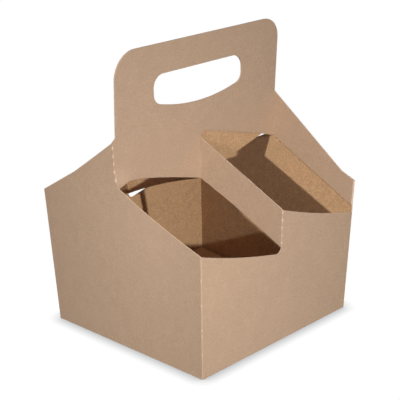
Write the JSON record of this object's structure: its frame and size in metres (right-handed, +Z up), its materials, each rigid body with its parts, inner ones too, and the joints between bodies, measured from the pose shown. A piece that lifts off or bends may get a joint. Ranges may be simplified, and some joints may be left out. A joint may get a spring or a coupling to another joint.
{
  "type": "cup carrier",
  "caption": "Open square drink carrier folded from kraft paperboard, with a tall central handle, crossed straps that divide it into cup cells, and sloping rims.",
  "frame": {"origin": "centre of the base, on the surface that the carrier stands on", "axes": "+Z up; +X along the handle, from the low front-left corner towards the strip on the right; -Y is the front"},
  "size_m": [0.1788, 0.174, 0.2315],
  "materials": {
    "kraft_board": "matte brown kraft paperboard, smoother outside, fibrous and yellower inside"
  },
  "bodies": {
    "root": {"carrier": "kraft_board"}
  },
  "joints": []
}
